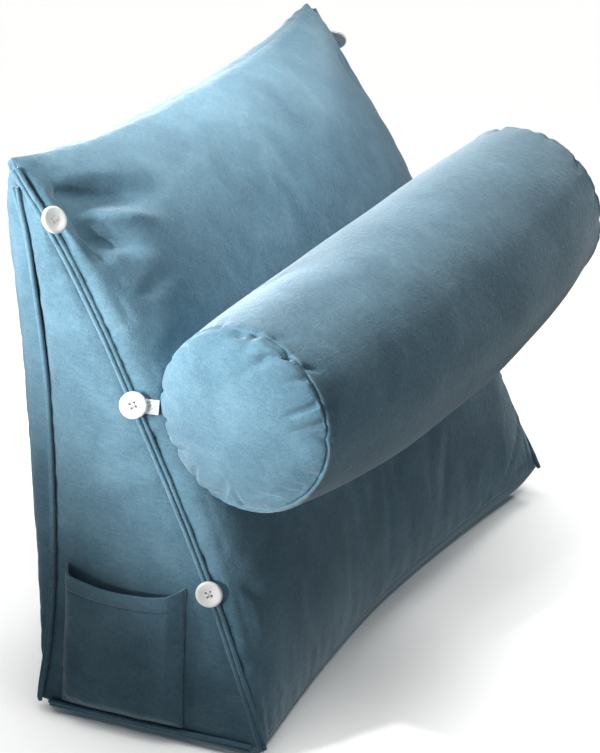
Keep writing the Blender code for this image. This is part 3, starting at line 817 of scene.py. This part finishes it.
def weltRoute(curve, trimStart, trimEnd):
    # Middle of the welt and the way out of the cushion along it
    points = evenPoints(curve, trimStart, trimEnd, welt["spacing"])
    ways = []
    for point in points:
        near = wedgeTree.find_nearest_range(Vector(point), welt["near"])
        ways.append(np.array(sum((found[1] for found in near), Vector())))
    ways = unit(smoothed(ways, 12))
    room = welt["cordRadius"] + welt["cordSpread"] * 0.6 - welt["sink"]
    heights = []
    for point, way in zip(points, ways):
        height = 0.0
        while height < welt["mostClimb"]:
            place = Vector(point + way * height)
            near, normal, _, distance = wedgeTree.find_nearest(place)
            if distance >= room and (place - near).dot(normal) > 0:
                break
            height += welt["climb"]
        heights.append(height)
    heights = smoothed(np.array(heights)[:, None], 6)
    middle = smoothed(points + ways * heights, 2)
    return middle, ways


def routeSides(middle, ways):
    return unit(np.cross(unit(np.gradient(middle, axis=0)), ways))


def curveObject(name, routes):
    curve = bpy.data.curves.new(name, "CURVE")
    curve.dimensions = "3D"
    for route in routes:
        spline = curve.splines.new("POLY")
        spline.points.add(len(route) - 1)
        for target, point in zip(spline.points, route):
            target.co = (*point, 1.0)
    return addObject(name, curve)


def geometryTree(name, inputs):
    tree = bpy.data.node_groups.new(name, "GeometryNodeTree")
    tree.is_modifier = True
    for way in ("INPUT", "OUTPUT"):
        tree.interface.new_socket("Geometry", in_out=way, socket_type="NodeSocketGeometry")
    for label, value in inputs.items():
        kind = "NodeSocketMaterial" if value is None else "NodeSocketFloat"
        socket = tree.interface.new_socket(label, in_out="INPUT", socket_type=kind)
        if value is not None:
            socket.default_value = value
    return tree, tree.nodes.new("NodeGroupInput").outputs, tree.nodes.new("NodeGroupOutput")


def mathNode(tree, operation, *values):
    values = {"operation": operation, **dict(enumerate(values))}
    return addNode(tree, "ShaderNodeMath", values).outputs[0]


def finishTree(tree, result, made, material):
    # Turns what was made into one smooth mesh of a material, and gives it as the result
    whole = addNode(tree, "GeometryNodeRealizeInstances", {"Geometry": made})
    painted = addNode(tree, "GeometryNodeSetMaterial", {
        "Geometry": whole.outputs["Geometry"], "Material": material,
    })
    smooth = addNode(tree, "GeometryNodeSetShadeSmooth", {"Geometry": painted.outputs["Geometry"]})
    tree.links.new(smooth.outputs["Geometry"], result.inputs["Geometry"])
    return tree


def cordTree():
    # A soft cord along each spline, a little uneven as stuffed cloth is
    tree, given, result = geometryTree("cordedWelt", {
        "Cord Radius": welt["cordRadius"], "Uneven Share": 0.16, "Step": 0.0022, "Seed": 4.0,
        "Cloth": None,
    })
    evened = addNode(tree, "GeometryNodeResampleCurve", {
        "mode": "LENGTH", "Curve": given["Geometry"], "Length": given["Step"],
    })
    place = addNode(tree, "GeometryNodeInputPosition")
    bumps = addNode(tree, "ShaderNodeTexNoise", {
        "noise_dimensions": "4D", "Scale": 110.0, "Detail": 1.0,
        "Vector": place.outputs["Position"], "W": given["Seed"],
    })
    swing = mathNode(tree, "SUBTRACT", bumps.outputs["Fac"], 0.5)
    share = mathNode(tree, "MULTIPLY_ADD", swing, given["Uneven Share"], 1.0)
    profile = addNode(tree, "GeometryNodeCurvePrimitiveCircle", {"Resolution": 12, "Radius": 1.0})
    cord = addNode(tree, "GeometryNodeCurveToMesh", {
        "Fill Caps": True, "Curve": evened.outputs["Curve"],
        "Profile Curve": profile.outputs["Curve"],
        "Scale": mathNode(tree, "MULTIPLY", share, given["Cord Radius"]),
    })
    return finishTree(tree, result, cord.outputs["Mesh"], given["Cloth"])


def stitchTree():
    # Thread stitches that follow a line
    tree, given, result = geometryTree("topstitch", {
        "Stitch Length": welt["stitchLength"], "Stitch Gap": welt["stitchGap"],
        "Thread Radius": welt["stitchRadius"], "Thread": None,
    })
    pitch = mathNode(tree, "ADD", given["Stitch Length"], given["Stitch Gap"])
    spots = addNode(tree, "GeometryNodeCurveToPoints", {
        "mode": "LENGTH", "Curve": given["Geometry"], "Length": pitch,
    })
    size = addNode(tree, "ShaderNodeCombineXYZ", {
        "X": given["Thread Radius"], "Y": given["Thread Radius"],
        "Z": mathNode(tree, "MULTIPLY", given["Stitch Length"], 0.5),
    })
    bead = addNode(tree, "GeometryNodeMeshUVSphere", {"Segments": 6, "Rings": 5, "Radius": 1.0})
    stitches = addNode(tree, "GeometryNodeInstanceOnPoints", {
        "Points": spots.outputs["Points"], "Instance": bead.outputs["Mesh"],
        "Rotation": spots.outputs["Rotation"], "Scale": size.outputs["Vector"],
    })
    return finishTree(tree, result, stitches.outputs["Instances"], given["Thread"])


def grownPiece(name, routes, tree, values, replaced=()):
    # Runs a node tree on some lines and keeps the plain mesh that it makes
    source = curveObject(name + "_line", routes)
    modifier = source.modifiers.new("grow", "NODES")
    modifier.node_group = tree
    for socket in tree.interface.items_tree:
        if socket.in_out == "INPUT" and socket.name in values:
            modifier[socket.identifier] = values[socket.name]
    mesh = builtMesh(source)
    mesh.name = name
    bpy.data.objects.remove(source, do_unlink=True)
    return finishPiece(addObject(name, mesh), replaced)


cords, topstitch = cordTree(), stitchTree()
weltRoutes = {}
for side in sides:
    end = side.capitalize()
    for label, seam, trimStart, trimEnd in (
        ("front_welt", "sideFront", welt["cornerGap"], 0.0),
        ("back_welt", "sideBack", welt["backStart"], 0.0),
        ("base_welt", "baseSide", welt["cornerGap"], welt["cornerGap"]),
    ):
        middle, ways = weltRoute(seams[seam + end], trimStart, trimEnd)
        across = routeSides(middle, ways)
        weltRoutes[f"{label}_{side}"] = middle, ways
        pair = [middle - across * welt["cordSpread"], middle + across * welt["cordSpread"]]
        grownPiece(
            f"{label}_cords_{side}", pair, cords, {"Cloth": suedeWeltPaintedHighlight},
            [f"{label}_{side}"],
        )
        groove = middle + ways * welt["cordRadius"] * 0.15
        grownPiece(
            f"{label}_stitches_{side}", [groove], topstitch, {"Thread": threadBlue}
        )
print("welts topstitched:", len(weltRoutes))


# Buttons: turned resin discs with a raised rim, a dish and four holes
button = {
    "radius": 0.0105,
    "thickness": 0.0036,
    "rim": 0.0011,
    "dishRadius": 0.0092,
    "dishDepth": 0.0012,
    "holeRadius": 0.0009,
    "holeSpread": 0.0017,
    "threadRadius": 0.00034,
}


def buttonDisc():
    r, t = button["radius"], button["thickness"]
    dish, rim, floor = button["dishRadius"], button["rim"], t - button["dishDepth"]
    profile = [(0.0, 0.0), (r * 0.6, 0.0), (r - rim, 0.0001)]
    for degrees in range(-70, 91, 20):  # rolled rim
        turn = math.radians(degrees)
        profile.append((r - rim + rim * math.cos(turn), t / 2 + (t / 2 - 0.0001) * math.sin(turn)))
    for share in (1.0, 0.88, 0.74, 0.58, 0.42, 0.26, 0.0):  # a shallow dish, with no step in it
        profile.append((dish * share, floor + (t - floor) * math.sin(share * math.pi / 2) ** 4))
    steps = 64
    turn = np.linspace(0, 2 * np.pi, steps + 1)
    grid = np.array([
        np.stack([x * np.cos(turn), x * np.sin(turn), np.full_like(turn, z)], 1) for x, z in profile
    ])
    grid[:, -1] = grid[:, 0]
    blank = addObject("disc", meshOf("disc", gridMesh([grid])))
    pins = bmesh.new()
    for x in (-button["holeSpread"], button["holeSpread"]):
        for y in (-button["holeSpread"], button["holeSpread"]):
            bmesh.ops.create_cone(
                pins, cap_ends=True, segments=20, radius1=button["holeRadius"],
                radius2=button["holeRadius"], depth=0.02, matrix=Matrix.Translation((x, y, 0.0)),
            )
    cutter = addObject("pins", meshOf("pins", pins))
    cut = blank.modifiers.new("holes", "BOOLEAN")
    cut.object, cut.solver = cutter, "EXACT"
    made = builtMesh(blank)
    for obj in (blank, cutter):
        bpy.data.objects.remove(obj, do_unlink=True)
    return made


def nodePoints(name):
    return pointsOf(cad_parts[name].data).astype(float)


def discFrame(name, alongRoute):
    # The frame of a flat round node: its Z is out of the cushion, and its back is at zero
    points = nodePoints(name)
    middle = points.mean(0)
    spread = np.linalg.svd(points - middle, full_matrices=False)[2]
    z = spread[2]
    outward = middle - np.array([0.0, 0.02, 0.2])  # from the inside of the wedge
    z = z if z @ outward > 0 else -z
    fromAxis = np.linalg.norm((points - middle) - np.outer((points - middle) @ z, z), axis=1)
    rimPoints = points[np.abs(fromAxis - button["radius"]) < 0.0004]
    centre = rimPoints.mean(0)
    centre = centre + z * (((points - centre) @ z).min())
    x = unit(alongRoute - z * (alongRoute @ z))
    y = np.cross(z, x)
    turn = Matrix([list(row) for row in np.stack([x, y, z], 1)]).to_4x4()
    return Matrix.Translation(centre) @ turn


def buttonThread():
    # Two bundles of thread that cross between the holes
    top = button["thickness"] - button["dishDepth"]
    spread = button["holeSpread"]
    shape = bmesh.new()
    for sign in (-1, 1):
        for shift in (-0.4, 0.4):
            rings = []
            for share in np.linspace(-1.0, 1.0, 9):
                height = top + 0.0005 * (1 - share ** 4) + (0.0002 if sign > 0 else 0.0)
                if abs(share) == 1.0:
                    height = top - 0.0015
                offset = shift * button["threadRadius"] * 2
                inset = spread * 0.8 * share  # on the inner side of each hole
                offset *= 0.7
                middle = np.array([inset - sign * offset, sign * inset + offset, height])
                ring = []
                for step in range(8):
                    turn = step * math.pi / 4
                    flat = 0.7 * math.cos(turn)
                    outwards = np.array([-sign * flat, flat, math.sin(turn)])
                    ring.append(shape.verts.new(middle + outwards * button["threadRadius"]))
                rings.append(ring)
            for first, second in zip(rings, rings[1:]):
                for step in range(8):
                    nextStep = (step + 1) % 8
                    shape.faces.new((first[step], first[nextStep], second[nextStep], second[step]))
            shape.faces.new(rings[0])
            shape.faces.new(rings[-1][::-1])
    bmesh.ops.recalc_face_normals(shape, faces=shape.faces)
    return shape


disc = buttonDisc()
for side in sides:
    middle, ways = weltRoutes[f"front_welt_{side}"]
    for label in ("top", "middle", "low"):
        name = f"button_{label}_{side}"
        points = nodePoints(name)
        nearest = int(np.argmin(np.linalg.norm(middle - points.mean(0), axis=1)))
        along = middle[min(nearest + 1, len(middle) - 1)] - middle[max(nearest - 1, 0)]
        place = discFrame(name, along)
        shape = bmesh.new()
        shape.from_mesh(disc)
        shape.transform(place)
        newPiece(f"resin_{name}", shape, resin, [name])
        shape = buttonThread()
        shape.transform(place)
        newPiece(f"thread_{name}", shape, threadWhite)
print("buttons sewn on: 6")

for side in sides:
    for label, material in (("loop", elasticWoven), ("thread_shank", threadWhite)):
        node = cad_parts[f"{label}_{side}"]
        node.data.materials.clear()
        node.data.materials.append(material)


# Patch pocket: one sheet, sewn at both sides and its foot, with a turned hem at its mouth
pocket = {
    "mouthBack": (0.0715, 0.1325),
    "mouthFront": (-0.0350, 0.1340),
    "footBack": (0.0800, 0.0150),
    "footFront": (-0.0290, 0.0155),
    "sag": 0.0065,
    "room": 0.0105,
    "edge": 0.10,
    "cloth": 0.0016,
    "hem": 0.013,
    "hemRise": 0.0012,
    "hemStep": 0.0015,
    "stitchDip": (0.0009, 0.0011),  # depth and width of the line that holds the hem
    "ripple": (0.0013, 3.1, 2.2),  # depth, and waves across and up
    "steps": 90,
    "clearance": 0.0007,
}


def makePocket():
    t = np.linspace(0, 1, pocket["steps"] + 1)
    across, up = np.meshgrid(t, t)
    foot, mouth = (
        blend(np.array(pocket[row + "Back"]), np.array(pocket[row + "Front"]), across)
        for row in ("foot", "mouth")
    )
    flat = blend(foot, mouth, up)
    flat[..., 1] -= pocket["sag"] * swell(across, 2.4, 1.0) * up
    edge = pocket["edge"]
    sideRoom = np.minimum.reduce([np.ones_like(across), across / edge, (1 - across) / edge])
    room = np.sin(sideRoom * np.pi / 2) * np.sin(np.minimum(1.0, up / edge) * np.pi / 2)
    lift = pocket["clearance"] + pocket["room"] * room * (0.75 + 0.25 * up)
    fromMouth = (1 - up) * (pocket["mouthBack"][1] - pocket["footBack"][1])
    hemmed = np.clip((pocket["hem"] - fromMouth) / pocket["hemStep"], 0, 1)
    lift += pocket["hemRise"] * hemmed * np.sin(np.minimum(1, sideRoom * 2) * np.pi / 2)
    dip, dipWidth = pocket["stitchDip"]
    lift -= dip * np.exp(-((fromMouth - pocket["hem"]) / dipWidth) ** 2) * room
    ripple, wavesAcross, wavesUp = pocket["ripple"]
    lift += ripple * softNoise(across * wavesAcross, up * wavesUp, 7.0) * room
    points = np.zeros((*across.shape, 3))
    for index in np.ndindex(across.shape):
        y, z = flat[index]
        hit = wedgeTree.ray_cast(Vector((-1.0, y, z)), Vector((1.0, 0.0, 0.0)))[0]
        points[index] = (hit.x - lift[index], y, z)
    shape = gridMesh([points])
    if sum(face.normal.x for face in shape.faces) > 0:
        bmesh.ops.reverse_faces(shape, faces=shape.faces)
    piece = newPiece("pocket_sheet", shape, suedePocketPaintedShade, ["pocket"])
    wall = piece.modifiers.new("cloth", "SOLIDIFY")
    wall.thickness, wall.offset = pocket["cloth"], 1.0


makePocket()
print("pocket sewn on")


# Camera, at the photograph's place. Angles in degrees, lens in mm for a 36 mm sensor.
camera = {
    "place": (-1.7432666, -0.9684446, 1.0758948),
    "azimuth": -61.2309,
    "elevation": 23.4415,
    "roll": -2.7580,
    "lens": 125.449,
    "shift": (-0.00413, -0.01226),
}


def makeCamera():
    azimuth, elevation, roll = (
        math.radians(camera[key]) for key in ("azimuth", "elevation", "roll")
    )
    level = math.cos(elevation)
    ahead = Vector((-math.sin(azimuth) * level, math.cos(azimuth) * level, -math.sin(elevation)))
    sideways = ahead.cross(Vector((0, 0, 1))).normalized()
    upright = sideways.cross(ahead)
    right = sideways * math.cos(roll) + upright * math.sin(roll)
    up = upright * math.cos(roll) - sideways * math.sin(roll)
    data = bpy.data.cameras.new("camera")
    data.lens, data.sensor_width = camera["lens"], 36.0
    data.shift_x, data.shift_y = camera["shift"]
    obj = addObject("camera", data)
    turn = Matrix((right, up, -ahead)).transposed().to_4x4()
    obj.matrix_world = Matrix.Translation(camera["place"]) @ turn
    bpy.context.scene.camera = obj


makeCamera()

# Studio: softened spots in cones, whose powers follow the brightness of the photograph, a weak fill
# from the front right, and a dim sky that is brighter towards the ground. One lamp lights the floor
# alone, so that it stays pale. Each spot: way to it, what it aims at, radius of its cone there,
# share of the cone that fades, radius of the lamp, and power.
studio = {
    "distance": 2.6,
    "spots": {
        "key": ((-0.35, 0.55, 0.76), (-0.043, -0.204, 0.442), 0.40, 0.15, 0.10, 235.0),
        "side": ((-0.75, 0.66, 0.10), (-0.25, 0.12, 0.44), 0.20, 0.8, 0.20, 620.0),
        "panel": ((-0.85, 0.45, 0.30), (-0.088, -0.286, 0.454), 0.40, 0.08, 0.06, 165.0),
        "low": ((-0.92, 0.28, 0.10), (-0.10, -0.27, 0.42), 0.40, 0.10, 0.06, 140.0),
        "ridge": ((0.0, -0.5, 0.87), (0.0, 0.185, 0.52), 0.23, 1.0, 0.20, 1120.0),
        "right": ((0.83, -0.04, 0.55), (0.0, 0.0, 0.30), 1.0, 1.0, 0.30, 115.0),
        "front": ((-0.10, -0.45, 0.88), (0.0, 0.0, 0.30), 1.0, 1.0, 0.30, 45.0),
    },
    "fillPlace": (1.4, -2.6, 1.3),
    "fillPower": 2.0,
    "sky": 0.03,
    "ground": 0.30,
    "floorPower": 3.3,
    "floorReach": 6.0,
}


def aimedLight(data, place, target):
    obj = addObject(data.name + "_light", data)
    obj.location = place
    obj.rotation_euler = (Vector(target) - Vector(place)).to_track_quat("-Z", "Y").to_euler()
    return obj


def makeStudio():
    scene = bpy.context.scene
    distance = studio["distance"]
    for label, (way, target, reach, blend, size, power) in studio["spots"].items():
        spot = bpy.data.lights.new(label, "SPOT")
        spot.energy, spot.shadow_soft_size = power, size
        spot.spot_size, spot.spot_blend = 2 * math.atan(reach / distance), blend
        aimedLight(spot, Vector(target) + Vector(way).normalized() * distance, target)
    fill = bpy.data.lights.new("fill", "AREA")
    fill.shape, fill.size, fill.energy = "DISK", 2.0, studio["fillPower"]
    aimedLight(fill, studio["fillPlace"], (0.0, 0.0, 0.25))
    world = bpy.data.worlds.new("room")
    scene.world = world
    world.use_nodes = True
    tree = world.node_tree
    place = addNode(tree, "ShaderNodeTexCoord").outputs["Generated"]
    height = addNode(tree, "ShaderNodeSeparateXYZ", {"Vector": place}).outputs["Z"]
    dim = tree.nodes["Background"]
    setInputs(tree, dim, {
        "Color": linearColour("#FFFFFF"),
        "Strength": rangeNode(tree, height, studio["ground"], studio["sky"], -0.05, 0.35),
    })
    bright = addNode(tree, "ShaderNodeBackground", {"Color": (1, 1, 1, 1), "Strength": 1.0})
    path = addNode(tree, "ShaderNodeLightPath")
    mixed = addNode(tree, "ShaderNodeMixShader", {
        0: path.outputs["Is Camera Ray"], 1: dim.outputs[0], 2: bright.outputs[0],
    })
    tree.links.new(mixed.outputs[0], tree.nodes["World Output"].inputs["Surface"])
    floorMesh = bpy.data.meshes.new("floor")
    corners = [(x, y, 0) for x, y in ((-1, -1), (1, -1), (1, 1), (-1, 1))]
    floorMesh.from_pydata(
        [tuple(c * studio["floorReach"] for c in corner) for corner in corners], [], [(0, 1, 2, 3)]
    )
    material, floorTree, shader, place = newMaterial("matt_paper")  # backdrop paper, no gloss
    fibre = noiseNode(floorTree, place, (2.5, 2.0, 0.5, 0.0))
    setInputs(floorTree, shader, {
        "Normal": bumpNode(floorTree, fibre, 0.1, 0.0002),
        "Base Color": linearColour("#F6F6F5"),
        "Roughness": 0.95,
        "Specular IOR Level": 0.1,
    })
    floorMesh.materials.append(material)
    floor = addObject("floor", floorMesh)
    floor.visible_diffuse = False  # it lights nothing from below
    above = bpy.data.lights.new("floor", "SUN")
    above.energy, above.angle = studio["floorPower"], 1.2
    lamp = aimedLight(above, (0.0, 0.0, 2.6), (0.0, 0.0, 0.0))
    floorOnly = bpy.data.collections.new("floor_only")
    floorOnly.objects.link(floor)
    lamp.light_linking.receiver_collection = floorOnly
    bpy.context.scene.view_settings.view_transform = "Standard"


makeStudio()
print("camera and lights set")
